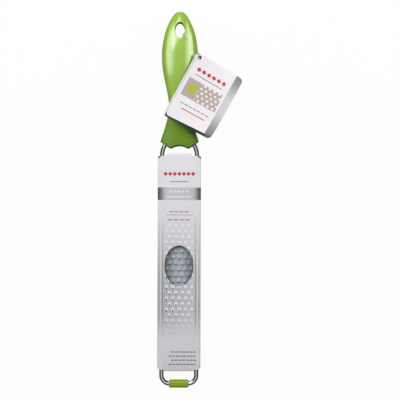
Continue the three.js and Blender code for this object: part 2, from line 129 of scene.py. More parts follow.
class GraterSizes(bpy.types.PropertyGroup):
    """Sizes of the grater, its sleeve and its tie."""

    wire_diameter: length("Wire", "Diameter of the frame's wire", 3.8)
    rail_spacing: length("Rail spacing", "Between the centrelines of the two rails", 30.6)
    tang_spacing: length("Tang spacing", "Between the two legs inside the handle", 11)
    shoulder_radius: length("Shoulder radius", "Of the bends into the collar", 17)
    shoulder_gap: length("Shoulder gap", "From the sleeve to where those bends start", 0.8)
    foot_bend_radius: length("Foot bend radius", "Of the wire's corners beside the foot", 7.3)
    socket_clearance: length("Socket clearance", "Round the wire in handle and foot", 0.2)

    toe_spacing: length("Toe spacing", "Between the low points of the collar's edge", 15.4)
    toe_drop: length("Toe drop", "From the collar's corners to those points", 6)
    toe_blunt: length("Toe blunting", "How much of each point is cut off", 0.6)
    arch_rise: length("Arch rise", "Of the arch above the blunt points", 2)
    collar_width: length("Collar width", "Across the collar's corners", 34.4)
    # painted shade: width of a dark line along the collar's edge, in place of the shade of its
    # rounded edge
    collar_edge_shade: length("Collar lip", "Width of the darker lip on the collar's edge", 1.2)
    collar_crown: length("Collar crown", "Front of the collar above the wire", 8.8)
    collar_back: length("Collar back", "Back of the collar below the wire", 4.7)
    neck_from_collar: length("Neck place", "From the collar's corners to the neck", 30)
    neck_width: length("Neck width", "Across the narrowest place", 18.8)
    neck_crown: length("Neck crown", "Front of the neck above the wire", 8.6)
    neck_back: length("Neck back", "Back of the neck below the wire", 4.5)
    belly_from_collar: length("Belly place", "From the collar's corners to the belly", 76)
    belly_width: length("Belly width", "Across the widest place", 32)
    belly_crown: length("Belly crown", "Front of the belly above the wire", 12)
    tip_blunt: length("Tip blunting", "Half width of the tip's blunt end", 2.6)
    hole_width: length("Hole width", "Across the hanging hole", 8.6)
    hole_length: length("Hole length", "Along the hanging hole", 14.4)
    hole_from_tip: length("Hole place", "From the tip to the hole's centre", 17.2)
    hole_flare: length("Hole flare", "Radius of the hole's rounded rim", 1.5)

    foot_corner: length("Foot corner", "Bevel round the foot's two ends", 0.9)
    foot_edge: length("Foot edge", "Rounding of the foot's long edges", 2.0)

    sheet_thickness: length("Sheet", "Thickness of the blade's steel", 0.5)
    curl_clearance: length("Curl clearance", "Between the curled edge and the rail", 0.3)
    tooth_width: length("Tooth width", "Across one tooth", 3.8)
    tooth_length: length("Tooth length", "From the cutting edge to the back", 3.3)
    tooth_wall: length("Tooth wall", "Thickness of one tooth's hood", 0.35)
    tooth_mouth: length("Tooth mouth", "Hole ahead of the cutting edge", 0.7)
    column_pitch: length("Column pitch", "Between teeth across the blade", 5.55)
    row_pitch: length("Row pitch", "Between rows along the blade", 5.2)
    rows: IntProperty(name="Rows", description="Rows of teeth", default=31, min=3)
    columns: IntProperty(name="Columns", description="Teeth in the wider rows", default=5, min=3)

    card_thickness: length("Card", "Thickness of the sleeve's card", 0.5)
    sleeve_fold: length("Sleeve fold", "Outer radius of the four long folds", 1.2)
    sleeve_corner: length("Sleeve corner", "Radius of the front panel's corners, foot end", 3.1)
    sleeve_clip: length("Sleeve clip", "Cut off the front panel's corners, handle end", 3.8)
    sleeve_clip_radius: length("Sleeve clip radius", "Of the curve of that cut", 8)
    window_width: length("Window width", "Across the oval window", 25.5)
    window_length: length("Window length", "Along the oval window", 35.6)
    window_from_foot: length("Window place", "From the foot's end to the window", 107.1)
    tab_width: length("Tab width", "Of the end tab at the handle", 22.9)
    tab_length: length("Tab length", "Of the end tab at the handle", 2.2)
    foot_tab_width: length("Foot tab width", "Of the end tab at the foot", 26.8)
    foot_tab_length: length("Foot tab length", "Of the end tab at the foot", 1.4)
    tab_dip: length("Tab dip", "How far the tabs bend towards the blade", 0.4)

    tag_width: length("Tag width", "Across one leaf of the tag", 47)
    tag_length: length("Tag length", "Along the front leaf's free side", 59.5)
    tag_slant: length("Tag slant", "How much longer the front leaf's fold side is", 1.9)
    tag_back_length: length("Tag back length", "Along the back leaf's free side", 60.2)
    tag_back_slant: length("Tag back slant", "How much longer the back leaf's fold side is", 2.8)
    tag_border: length("Tag border", "Width of the border along the back leaf's lower edge", 1.5)
    tag_thickness: length("Tag card", "Thickness of the tag's card", 0.4)
    tag_fold_gap: length("Tag fold gap", "Between the two leaves at the fold", 0.3)
    tag_fold_corner: length("Tag fold corner", "Radius of the corners at the fold", 3.2)
    tag_free_corner: length("Tag free corner", "Radius of the two free corners", 3.6)
    tag_hole: length("Tag hole", "Diameter of the front leaf's hole for the loop", 3.4)
    tag_back_hole: length("Tag back hole", "Diameter of the back leaf's hole", 1.5)
    tag_hole_inset: length("Tag hole inset", "From the fold and the top to the hole", 3.2)
    tag_opening: FloatProperty(
        name="Tag opening", description="Between the two leaves at the hole",
        default=math.radians(5.5), subtype="ANGLE",
    )
    tag_lean: length("Tag lean", "How far the front leaf's free side leans in at its end", 2.1)
    tag_hinge_gap: length("Tag hinge gap", "From the fold line to the front leaf", 0.45)
    tag_margin: length("Tag margin", "Of the back leaf past the fold line", 1.0)
    tag_curl: FloatProperty(
        name="Tag curl", description="How much further the lower end of the front leaf opens",
        default=math.radians(12), subtype="ANGLE",
    )

    loop_diameter: length("Loop", "Diameter of the nylon loop", 0.6)


class GraterColours(bpy.types.PropertyGroup):
    """Colours of the grater's finishes."""

    handle: colour("Handle", "Moulded plastic of the handle", 152, 190, 60)
    # painted shade: the collar's colour is darkened to stand in for the tag's shadow on its duller
    # plastic
    collar: colour("Collar", "Duller plastic of the handle's collar", 100, 140, 6)
    # painted shade along the collar's edge, where its rounding turns from the light
    edge_shade: colour("Collar lip", "Dark lip on the collar's edge", 62, 88, 12)
    foot: colour("Foot", "Soft rubber of the foot", 146, 178, 44)
    wire: colour("Wire", "Polished wire", 218, 220, 224)
    blade: colour("Blade", "Satin steel of the blade", 188, 193, 200)
    card_light: colour("Sleeve card", "Printed card of the sleeve", 228, 227, 231)
    card_spot: colour("Sleeve spots", "Pale spots of the sleeve's print", 238, 238, 242)
    card_shade: colour("Sleeve shade", "The sleeve's darker print", 118, 117, 122)
    # grey board, darkened further as painted shade inside the sleeve
    card_inside_shade: colour("Sleeve inside", "Grey board on the sleeve's inner side", 92, 91, 95)
    card_band: colour("Sleeve band", "Dark ends of the band round the sleeve", 74, 74, 78)
    ink_red: colour("Red ink", "Red ornaments on sleeve and tag", 200, 40, 58)
    ink_grey: colour("Grey ink", "Fine grey lines on sleeve and tag", 118, 118, 124)
    tag: colour("Tag card", "Printed card of the tag", 238, 234, 238)
    # painted shade: the near-black between the tag's leaves stands in for the shadow in the gap
    tag_gap_shade: colour("Tag inside", "Dark print between the tag's leaves", 22, 22, 26)
    tag_strip: colour("Tag strip", "Grey strip on the tag's free edge", 128, 127, 132)
    tag_panel: colour("Tag panel", "Warm panel in the middle of the tag", 182, 168, 158)
    tag_accent: colour("Tag accent", "Green dot on the tag", 176, 186, 40)
    nylon: colour("Nylon", "Clear nylon of the loop and its lock", 240, 242, 242)


# Modelling helpers


def start(add_primitive, name, **settings):
    """Adds a primitive by itself and opens it for editing, with its place in its mesh."""
    bpy.ops.object.select_all(action="DESELECT")
    add_primitive(**settings)
    piece = bpy.context.object
    piece.name = piece.data.name = name
    bpy.ops.object.transform_apply(location=True, rotation=True, scale=True)
    bpy.ops.object.mode_set(mode="EDIT")
    return piece


def only(piece):
    """Makes a piece the only selected and active one."""
    bpy.ops.object.select_all(action="DESELECT")
    piece.select_set(True)
    bpy.context.view_layer.objects.active = piece


def reopen(piece):
    """Opens a piece, and no other, for editing again."""
    only(piece)
    bpy.ops.object.mode_set(mode="EDIT")


def pick(piece, kind, test):
    """Leaves only those vertices, edges or faces selected that pass the test."""
    bpy.ops.mesh.select_mode(type=kind)
    bpy.ops.mesh.select_all(action="DESELECT")
    mesh = bmesh.from_edit_mesh(piece.data)
    for element in {"VERT": mesh.verts, "EDGE": mesh.edges, "FACE": mesh.faces}[kind]:
        if test(element):
            element.select_set(True)
    mesh.select_flush_mode()
    bmesh.update_edit_mesh(piece.data)


def middle(element):
    """The middle of an edge or face."""
    return sum((vert.co for vert in element.verts), Vector()) / len(element.verts)


def direction(edge):
    """An edge's direction."""
    return (edge.verts[0].co - edge.verts[1].co).normalized()


def extrude(*way):
    """Extrudes what is selected along a vector."""
    bpy.ops.mesh.extrude_region_move(TRANSFORM_OT_translate={"value": way})


def stretch(x, y, z, centre):
    """Scales what is selected about a point."""
    bpy.ops.transform.resize(value=(x, y, z), center_override=centre)


def swing(angle, centre, axis=(0, 0, 1), steps=10):
    """Spins what is selected about an axis, counterclockwise seen along it towards the eye."""
    bpy.ops.mesh.spin(steps=steps, angle=-angle, center=centre, axis=axis)


def slice_all(place, normal, **settings):
    """Cuts the whole open mesh along a plane."""
    bpy.ops.mesh.select_all(action="SELECT")
    bpy.ops.mesh.bisect(plane_co=place, plane_no=normal, **settings)


def merge():
    """Merges the doubles of the whole open mesh."""
    bpy.ops.mesh.select_all(action="SELECT")
    bpy.ops.mesh.remove_doubles(threshold=SAME_PLACE)


def close():
    """Merges doubles, turns the faces outwards and leaves edit mode."""
    merge()
    bpy.ops.mesh.normals_make_consistent(inside=False)
    bpy.ops.object.mode_set(mode="OBJECT")


def modify(piece, kind, **settings):
    """Adds a modifier with its settings and applies it."""
    only(piece)
    bpy.ops.object.modifier_add(type=kind)
    modifier = piece.modifiers[-1]
    for setting, value in settings.items():
        setattr(modifier, setting, value)
    bpy.ops.object.modifier_apply(modifier=modifier.name)


def mirror(half):
    """Mirrors a half piece across the middle and closes the seam."""
    modify(half, "MIRROR", use_clip=True, merge_threshold=SAME_PLACE)
    reopen(half)
    close()


def cut(piece, cutter):
    """Cuts a piece with a cutter, which is then thrown away."""
    modify(piece, "BOOLEAN", operation="DIFFERENCE", object=cutter, solver="EXACT")
    bpy.data.objects.remove(cutter)


def join(piece, other):
    """Joins another piece into a piece."""
    only(piece)
    other.select_set(True)
    bpy.ops.object.join()


def settle(piece, node, body, finish, angle=40):
    """Gives a finished piece its shading and finish, and its place in the frame."""
    only(piece)
    bpy.ops.object.shade_smooth_by_angle(angle=math.radians(angle))
    piece.data.materials.clear()
    piece.data.materials.append(finish)
    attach(piece, body)
    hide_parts(node)


# Finishes


def sums(operation):
    """The two methods of one of Python's operators: with the value first, and with it last."""
    return (
        lambda self, other: self.finish.math(operation, self, other),
        lambda self, other: self.finish.math(operation, other, self),
    )


class Value:
    """A number that changes over a surface. Python's sums on it add Math nodes."""

    def __init__(self, finish, socket):
        self.finish = finish
        self.socket = socket

    __add__, __radd__ = sums("ADD")
    __sub__, __rsub__ = sums("SUBTRACT")
    __mul__, __rmul__ = sums("MULTIPLY")
    __truediv__, __rtruediv__ = sums("DIVIDE")
    __pow__, __rpow__ = sums("POWER")
    __mod__, __rmod__ = sums("FLOORED_MODULO")

    def __abs__(self):
        return self.finish.math("ABSOLUTE", self)

    def floor(self):
        return self.finish.math("FLOOR", self)

    def larger(self, other):
        return self.finish.math("MAXIMUM", self, other)

    def smaller(self, other):
        return self.finish.math("MINIMUM", self, other)

    def rise(self, low, high):
        """0 below low, 1 above high, smooth between them. It falls where low is above high."""
        return self.finish.node(
            "ShaderNodeMapRange", {"interpolation_type": "SMOOTHSTEP"},
            {"Value": self, "From Min": low, "From Max": high},
        )

    def between(self, low, high, soft=0.12):
        """1 between two values, 0 outside them, with soft edges."""
        up = self.rise(low - soft, low + soft)
        return up * (1 - self.rise(high - soft, high + soft))


class Finish:
    """A node material in the making."""

    def __init__(self, name, constants, world=None):
        self.material = world or bpy.data.materials.new(name)
        self.material.use_nodes = True
        self.tree = self.material.node_tree
        self.shader = self.tree.nodes["Background" if world else "Principled BSDF"]
        for socket, value in constants.items():
            self.feed(self.shader.inputs[socket], value)

    def feed(self, socket, value):
        """Sets a socket to a constant, or links it."""
        if isinstance(value, Value):
            self.tree.links.new(value.socket, socket)
        elif socket.type == "RGBA":
            socket.default_value = (*tuple(value)[:3], 1)
        else:
            socket.default_value = value

    def node(self, kind, settings=None, sockets=None, output=0):
        """Adds a node: its settings first, then its sockets, and gives one of its outputs."""
        node = self.tree.nodes.new(kind)
        for setting, value in (settings or {}).items():
            if setting == "stops":
                ramp = node.color_ramp
                while len(ramp.elements) < len(value):
                    ramp.elements.new(1)
                for element, (place, tone) in zip(ramp.elements, value):
                    element.position = place
                    element.color = (*tone, 1)
            else:
                setattr(node, setting, value)
        for socket, value in (sockets or {}).items():
            self.feed(node.inputs[socket], value)
        return Value(self, node.outputs[output])

    def math(self, operation, *values):
        """One Math node on values or numbers."""
        return self.node("ShaderNodeMath", {"operation": operation}, dict(enumerate(values)))

    def vary(self, **sockets):
        """Feeds shader sockets, written with _ for a space, with values or colours."""
        for socket, value in sockets.items():
            self.feed(self.shader.inputs[socket.replace("_", " ")], value)

    def place(self, at=(0, 0, 0), turn=(0, 0, 0)):
        """The surface's place, in millimetres, about a point and turned axes."""
        at_object = self.node("ShaderNodeTexCoord", output="Object")
        return self.node(
            "ShaderNodeMapping", {"vector_type": "TEXTURE"},
            {"Vector": at_object, "Location": at, "Rotation": turn, "Scale": (MM, MM, MM)},
        )

    def axes(self, place):
        """The three parts of a place."""
        first = self.node("ShaderNodeSeparateXYZ", sockets={0: place})
        return [Value(self, output) for output in first.socket.node.outputs]

    def stretched(self, place, x, y, z):
        """A place with its axes scaled, to stretch a grain."""
        return self.node(
            "ShaderNodeVectorMath", {"operation": "MULTIPLY"}, {0: place, 1: (x, y, z)},
        )

    def noise(self, place, scale, detail, roughness=0.5):
        """Soft noise from 0 to 1 at a scale per millimetre."""
        return self.node(
            "ShaderNodeTexNoise", {"noise_dimensions": "3D"},
            {"Vector": place, "Scale": scale, "Detail": detail, "Roughness": roughness},
        )

    def mix(self, mask, below, above):
        """One colour over another."""
        return self.node(
            "ShaderNodeMix", {"data_type": "RGBA"}, {0: mask, 6: below, 7: above}, output=2,
        )

    def shade(self, tone, factor):
        """A colour made lighter or darker by a factor."""
        return self.node(
            "ShaderNodeVectorMath", {"operation": "SCALE"}, {0: tone, "Scale": factor},
        )

    def bump(self, height, distance, strength):
        """Raises the surface by a height, up to a distance in metres."""
        normal = self.node(
            "ShaderNodeBump", None,
            {"Height": height, "Distance": distance, "Strength": strength},
        )
        self.vary(Normal=normal)


def collar_edge(x, sizes):
    """Where the collar's edge lies: a slope on each side, and an arch between the two toes."""
    toe, blunt = sizes.toe_spacing / 2 / MM, sizes.toe_blunt / MM
    low = HANDLE_LOW.y / MM
    drop, rise = sizes.toe_drop / MM + blunt, sizes.arch_rise / MM + blunt
    radius = (toe * toe + rise * rise) / (2 * rise)
    out = abs(x)
    slope = low - blunt + (out - toe) * (drop / (sizes.collar_width / 2 / MM - toe))
    arch = low - blunt + rise - radius + (radius * radius - out * out).larger(0) ** 0.5
    return slope.larger(low) + arch.larger(low) - low


def finish_moulded_plastic(colours, sizes):
    """Glossy moulded plastic, faint orange peel, soft wear in its gloss; painted shade on the
    duller collar and its edge.
    """
    finish = Finish(
        "moulded_green_plastic", {"IOR": 1.45, "Coat IOR": 1.8, "Coat Roughness": 0.17},
    )
    place = finish.place()
    cloud = finish.noise(place, 0.06, 3)
    peel = finish.noise(place, 1.6, 2)
    rub = finish.noise(place, 0.5, 4, 0.65)
    x, y, z = finish.axes(place)
    # Towards the collar the plastic turns duller, and its colour darker as painted shade.
    collar = y.rise(*COLLAR_DULL_AND_SHADE_MM)
    tone = finish.mix(collar, colours.handle, colours.collar)
    # A painted shade line along the collar's edge, in place of the shade of its rounded edge.
    edge_shade = sizes.collar_edge_shade / MM
    from_edge = y - collar_edge(x, sizes)
    tone = finish.mix(from_edge.rise(edge_shade * 1.3, edge_shade * 0.7), tone, colours.edge_shade)
    tone = finish.shade(tone, 0.97 + cloud * 0.06)
    finish.vary(
        Base_Color=tone, Roughness=0.16 + rub * 0.08 + collar * 0.35, Coat_Weight=1 - collar,
    )
    finish.bump(peel, 0.000005, 0.3)
    return finish.material


def finish_soft_rubber(colours):
    """Soft moulded rubber with a fine dull grain."""
    finish = Finish("soft_green_rubber", {"IOR": 1.5})
    place = finish.place()
    cloud = finish.noise(place, 0.35, 3)
    grain = finish.noise(place, 5.0, 2)
    tone = finish.shade(colours.foot, 0.95 + cloud * 0.1)
    finish.vary(Base_Color=tone, Roughness=0.5 + grain * 0.15)
    finish.bump(grain, 0.00002, 0.4)
    return finish.material


def finish_polished_wire(colours):
    """Polished stainless wire with faint drawing lines along it."""
    finish = Finish("polished_wire", {"Metallic": 1.0})
    place = finish.place()
    drawn = finish.noise(finish.stretched(place, 3.0, 0.06, 3.0), 1.2, 3)
    spots = finish.noise(place, 0.25, 3)
    tone = finish.shade(colours.wire, 0.94 + spots * 0.1)
    finish.vary(Base_Color=tone, Roughness=0.07 + drawn * 0.08)
    finish.bump(drawn, 0.000004, 0.4)
    return finish.material


def finish_satin_steel(colours):
    """Satin sheet steel, brushed along the blade, with fine scratches and a painted sheen in its
    brighter middle.
    """
    finish = Finish("satin_sheet_steel", {"Metallic": 1.0})
    place = finish.place()
    brushed = finish.noise(finish.stretched(place, 6.0, 0.08, 6.0), 1.0, 3)
    scratch = finish.noise(finish.stretched(place, 2.0, 0.3, 2.0), 2.0, 4, 0.7)
    cloud = finish.noise(place, 0.08, 2)
    x, y, z = finish.axes(place)
    # painted sheen: the middle of the blade is made lighter and its sides darker, as reflection
    # and shade would
    painted_sheen = 0.84 + abs(x).rise(*BLADE_PAINTED_SHEEN_MM) * 0.33
    tone = finish.shade(colours.blade, (0.86 + brushed * 0.12 + cloud * 0.12) * painted_sheen)
    finish.vary(Base_Color=tone, Roughness=0.74 + scratch * 0.12)
    finish.bump(brushed, 0.00001, 0.4)
    return finish.material


def finish_clear_nylon(colours):
    """Clear nylon, slightly milky, with fine lines from being drawn."""
    finish = Finish(
        "clear_nylon",
        {"IOR": 1.53, "Transmission Weight": 0.95, "Base Color": colours.nylon, "Alpha": 0.5},
    )
    place = finish.place()
    drawn = finish.noise(place, 3.0, 2)
    finish.vary(Roughness=0.04 + drawn * 0.08)
    finish.bump(drawn, 0.000006, 0.3)
    return finish.material


def paper(finish, place, tone):
    """Coated card: faint fibres in its tone, gloss and relief."""
    fibre = finish.noise(finish.stretched(place, 1.0, 0.35, 1.0), 2.2, 4, 0.6)
    cloud = finish.noise(place, 0.05, 2)
    finish.vary(
        Base_Color=finish.shade(tone, 0.975 + fibre * 0.03 + cloud * 0.02),
        Roughness=0.34 + fibre * 0.14,
    )
    finish.bump(fibre, 0.00002, 0.3)
    return finish.material


def staggered(x, y, column, row, across, along):
    """Oval spots in staggered rows: 1 in their middle, falling to 0 outwards."""
    line = (y / row).floor()
    shift = (line % 2) * 0.5
    u = ((x / column + shift) % 1 - 0.5) * (column / across)
    v = ((y / row) % 1 - 0.5) * (row / along)
    return 1 - (u * u + v * v)


def dashes(x, y, low, high, left, right, pitch, share):
    """A line of short printed dashes."""
    broken = ((x - left) / pitch % 1).between(0, share, 0.04)
    return y.between(low, high, 0.1) * x.between(left, right, 0.1) * broken


def lozenges(x, y, middle_y, left, right, pitch, half):
    """A row of printed lozenges."""
    u = abs((x - left) / pitch % 1 - 0.5) * pitch
    spot = 1 - (u + abs(y - middle_y)).rise(half - 0.12, half + 0.12)
    return spot * x.between(left, right, 0.1)


def printed_rail(x, middle_x, half, soft):
    """A printed rail along each side of the sleeve."""
    return (abs(x) - middle_x).between(-half, half, soft)


def sleeve_field(finish, colours, x, y, front):
    """The field of tooth-like spots between two rails, darker towards the foot and the left."""
    (low, low_full), (high, high_full) = FIELD_FADES_MM
    field = y.rise(low, low_full) * y.rise(high, high_full) * front
    deep = field * y.rise(*FIELD_DEEP_MM)
    leftward = x.rise(*FIELD_LEFT_MM)
    tone = finish.shade(colours.card_light, 1 - field * 0.07 - deep * (0.15 + leftward * 0.1))
    dark_rails = printed_rail(x, 14.5, 0.45, 0.3) * 0.65 + printed_rail(x, 17.4, 0.4, 0.3) * 0.45
    tone = finish.mix(field * dark_rails * (0.35 + deep * 0.8), tone, colours.card_shade)
    tone = finish.mix(field * printed_rail(x, 16.0, 0.7, 0.4) * 0.55, tone, colours.card_light)

    x = x - SPOT_SHIFT_MM
    near = field * abs(x).rise(*SPOT_EDGE_MM)
    hood = staggered(x, y - HOOD_START_MM, *SPOT_PITCH_MM, *HOOD_SIZE_MM).rise(0.05, 0.4)
    tone = finish.mix(near * hood * (0.8 + deep * 0.2), tone, colours.card_spot)
    notch = staggered(x, y - NOTCH_START_MM, *SPOT_PITCH_MM, *NOTCH_SIZE_MM).rise(0.0, 0.7)
    notch = notch * (0.15 + deep * 0.75) * (0.4 + leftward * 0.7)
    return finish.mix(near * notch, tone, colours.card_band)


def finish_sleeve_card(colours, sizes):
    """Printed card: a field of tooth-like spots between two rails, a dark band and small lines."""
    finish = Finish("printed_sleeve_card", {"IOR": 1.45})
    place = finish.place()
    x, y, z = finish.axes(place)
    front = z.rise(*FRONT_FADE_MM)
    tone = sleeve_field(finish, colours, x, y, front)

    band = y.between(*BAND_MM, 0.25)
    ends = abs(x).rise(*BAND_ENDS_MM)
    tone = finish.mix(band * (0.3 + ends * 0.7), tone, colours.card_band)
    pale = dashes(x, y, 6.2, 8.0, -9, 9, 3.6, 0.7) + dashes(x, y, 1.6, 3.4, -11, 11, 2.75, 0.72)
    tone = finish.mix(pale * front, tone, colours.card_light)

    red = lozenges(x, y, 22.5, -14, 14, 4.0, 1.9)
    red = red + dashes(x, y, -11.2, -10.2, -9, 9, 4.5, 0.8) * 0.8
    tone = finish.mix(red * front, tone, colours.ink_red)
    fine = dashes(x, y, 15.3, 16.0, -8, 8, 16, 1)
    fine = fine + y.between(-13.6, -13.2, 0.1) * x.between(-12, 12)
    fine = fine + dashes(x, y, -18.2, -17.2, -10, 10, 5, 0.8) * 0.8
    for low, left in SMALL_LINES_MM:
        fine = fine + dashes(x, y, low, low + 0.9, left, 15, 3.2, 0.78)
    tone = finish.mix(fine * front, tone, colours.ink_grey)

    # The inner faces take the grey board colour, darkened as painted shade.
    tone = finish.mix(inside_sleeve(sizes, x, y, z), tone, colours.card_inside_shade)
    return paper(finish, place, tone)


def inside_sleeve(sizes, x, y, z):
    """1 on the sleeve's inner faces and 0 on its outer ones, told apart by their depth."""
    half, tall = SLEEVE_HIGH.x / MM, SLEEVE_HIGH.z / MM
    fold, tab = sizes.sleeve_fold / MM, sizes.tab_length / MM
    side = abs(x) - (half - fold)
    face = abs(z - tall / 2) - (tall / 2 - fold)
    round_side, round_face = side.larger(0), face.larger(0)
    depth = (round_side * round_side + round_face * round_face) ** 0.5
    depth = depth + side.larger(face).smaller(0)
    low, high = SLEEVE_LOW.y / MM + tab, SLEEVE_HIGH.y / MM - tab
    return depth.rise(fold - 0.2, fold - 0.3) * y.between(low, high, 0.02)


def tag_turn():
    """The tag's own axes as a turn: X across the leaf, Y up it, Z out of its front."""
    across = TAG_ALONG.cross(TAG_NORMAL)
    return Matrix((across, TAG_ALONG, TAG_NORMAL)).transposed().to_euler("XYZ")


def tag_inside(finish, colours, sizes, tone, x, y, z):
    """The back leaf's inner side: painted shade between the leaves, grey along its free and lower
    edges, pale at the fold.
    """
    inset, wide, long, slant, border = (
        size / MM for size in (
            sizes.tag_hole_inset, sizes.tag_width, sizes.tag_back_length,
            sizes.tag_back_slant, sizes.tag_border,
        )
    )
    inner = z.rise(0.05, 0.15)
    from_fold, from_top = x + inset, inset - y
    from_low = long + slant - from_fold * (slant / wide) - from_top
    past_margin = from_fold.rise(0.3, 0.6)
    past_border = from_low.rise(border - 0.15, border + 0.15)
    short_of_strip = from_fold.rise(wide - 5.6, wide - 6.4)
    strip = inner * past_margin.larger(from_low.rise(1.2, 0.9))
    tone = finish.mix(strip, tone, colours.tag_strip)
    # Painted shade in the gap between the leaves, inside the grey border and strip.
    dark = past_border * short_of_strip * past_margin
    return finish.mix(inner * dark, tone, colours.tag_gap_shade)


def tag_print(finish, colours, tone, x, y):
    """The front leaf's plain print: lozenges, a dotted panel, thin lines and a grey free edge."""
    ends = abs(y + 27).rise(4, 30)
    strip = (x - y * 0.06).between(36.6, 60, 0.2)
    tone = finish.mix(strip * (0.35 + ends * 0.65), tone, colours.tag_strip)
    red = lozenges(x, y, -9.5, 2, 32, 5.0, 2.2) + y.between(-47.0, -46.2) * x.between(6, 28)
    tone = finish.mix(red, tone, colours.ink_red)
    panel = y.between(-36, -19, 0.2) * x.between(0, 33, 0.2)
    tone = finish.mix(panel, tone, colours.tag_panel)
    dots = staggered(x, y, 4.6, 3.6, 1.3, 1.1).rise(0, 0.3) * panel * x.rise(12, 12.4)
    tone = finish.mix(dots, tone, colours.tag)
    across, along = x - 7, y + 27.5
    disc = (across * across + along * along).rise(16.5, 15)
    tone = finish.mix(disc, tone, colours.tag_accent)
    grey = dashes(x, y, -14.9, -14.2, 3, 30, 27, 1) + dashes(x, y, -42.6, -41.8, 3, 31, 4, 0.8)
    return finish.mix(grey, tone, colours.ink_grey)


def finish_tag_card(colours, sizes, name, printed):
    """Coated card of the tag: the printed front leaf, or the back leaf with painted shade on its
    inside.
    """
    finish = Finish(name, {"IOR": 1.45})
    place = finish.place(TAG_HOLE, tag_turn())
    x, y, z = finish.axes(place)
    tone = finish.mix(y.rise(-60, 0) * 0.3, colours.tag, [c * 0.97 for c in colours.tag])
    if printed:
        tone = tag_print(finish, colours, tone, x, y)
    else:
        tone = tag_inside(finish, colours, sizes, tone, x, y, z)
    return paper(finish, place, tone)


# Pieces


def bent_wire(sizes, name, diameter, extra=0.0):
    """The frame's wire: the right half drawn along its bends from the handle, then mirrored."""
    rail = sizes.rail_spacing / 2
    tang = sizes.tang_spacing / 2
    turn = sizes.shoulder_radius
    bend = math.acos(1 - (rail - tang) / (2 * turn))
    low = SLEEVE_HIGH.y - sizes.tab_length + sizes.shoulder_gap
    high = low + 2 * turn * math.sin(bend)
    corner = sizes.foot_bend_radius
    bar = FOOT_MIDDLE.y
    wire = start(
        bpy.ops.mesh.primitive_circle_add, name,
        vertices=28, radius=diameter / 2, fill_type="NGON",
        location=(tang, WIRE_HIGH.y + extra, WIRE_Z), rotation=(math.pi / 2, 0, 0),
    )
    extrude(0, high - WIRE_HIGH.y - extra, 0)
    swing(bend, (tang + turn, high, WIRE_Z))
    swing(-bend, (rail - turn, low, WIRE_Z))
    extrude(0, bar + corner - low, 0)
    swing(-math.pi / 2, (rail - corner, bar + corner, WIRE_Z), steps=12)
    extrude(corner - rail, 0, 0)
    pick(wire, "FACE", lambda face: abs(middle(face).x) < SAME_PLACE)
    bpy.ops.mesh.delete(type="ONLY_FACE")
    close()
    mirror(wire)
    return wire


class GRATER_OT_wire(bpy.types.Operator):
    """Model the bent wire that carries the blade"""

    bl_idname = "grater.wire"
    bl_label = "Wire frame"
    bl_options = {"REGISTER", "UNDO"}

    def execute(self, context):
        sizes = context.scene.grater_sizes
        wire = bent_wire(sizes, "bent_wire", sizes.wire_diameter)
        finish = finish_polished_wire(context.scene.grater_colours)
        settle(wire, "frame_wire", "grater", finish)
        for name, state in (("wire_alone", "INCLUDE"), ("all_but_wire", "EXCLUDE")):
            lit = bpy.data.collections[name]
            lit.objects.link(wire)
            lit.collection_objects[0].light_linking.link_state = state
        return {"FINISHED"}


class HandleShape:
    """The handle's half width, crown and back at a place along it."""

    TIP_POWER = 1.8  # of the curve from the belly to the tip, where 2 makes an ellipse
    TIP_REACH = 0.9995  # share of that curve that is drawn, so that the tip keeps a size
    BLUNT_FROM, BLUNT_OVER = 0.82, 0.1  # shares of it where the blunt end comes in
    BLUNT_POWER = 300  # how late the blunt end closes
    BELLY_POWER = 1.15  # how early the belly swells from the neck
    FLARE_POWER = 1.5  # how late the collar flares from the neck
    TIP_ANGLE = 87  # what the rings that close in on the tip are spread over, in degrees
    BLUNT_RING = 0.993  # share of the curve where the ring before the tip lies

    def __init__(self, sizes):
        self.sizes = sizes
        self.collar = HANDLE_LOW.y + sizes.toe_drop
        self.neck = self.collar + sizes.neck_from_collar
        self.belly = self.collar + sizes.belly_from_collar
        self.tip = HANDLE_HIGH.y

    def at(self, y):
        sizes = self.sizes
        neck = (sizes.neck_width / 2, sizes.neck_crown, sizes.neck_back)
        belly = (sizes.belly_width / 2, sizes.belly_crown, WIRE_Z)
        if y >= self.belly:
            along = min((y - self.belly) / (self.tip - self.belly), self.TIP_REACH)
            share = (1 - along ** self.TIP_POWER) ** (1 / self.TIP_POWER)
            blunt = min(max((along - self.BLUNT_FROM) / self.BLUNT_OVER, 0), 1)
            share = math.hypot(share, sizes.tip_blunt / belly[0] * blunt)
            share = share * (1 - along ** self.BLUNT_POWER) ** 0.5
            return belly[0] * share, belly[1] * share, belly[2] * share ** 2
        if y >= self.neck:
            down = ((self.belly - y) / (self.belly - self.neck)) ** self.BELLY_POWER
            share = down * down * (3 - 2 * down)
            return tuple(b + (n - b) * share for n, b in zip(neck, belly))
        collar = (sizes.collar_width / 2, sizes.collar_crown, sizes.collar_back)
        share = min((self.neck - y) / sizes.neck_from_collar, 1) ** self.FLARE_POWER
        return tuple(n + (c - n) * share for n, c in zip(neck, collar))

    def stations(self):
        """Where the handle's rings lie, from past the collar's edge to the tip."""
        def spaced(low, high, count):
            return [low + (high - low) * k / count for k in range(count)]

        first = HANDLE_LOW.y - 4 * CUT_PAST
        places = [first, first + 0.5 * CUT_PAST]
        places += spaced(first, self.collar, 3)[1:]
        places += spaced(self.collar, self.neck, 6)
        places += spaced(self.neck, self.belly, 8)
        reach = self.tip - self.belly
        for angle in spaced(0, self.TIP_ANGLE, 11):
            places.append(self.belly + reach * math.sin(math.radians(angle)))
        return places + [self.belly + reach * self.BLUNT_RING, self.tip]


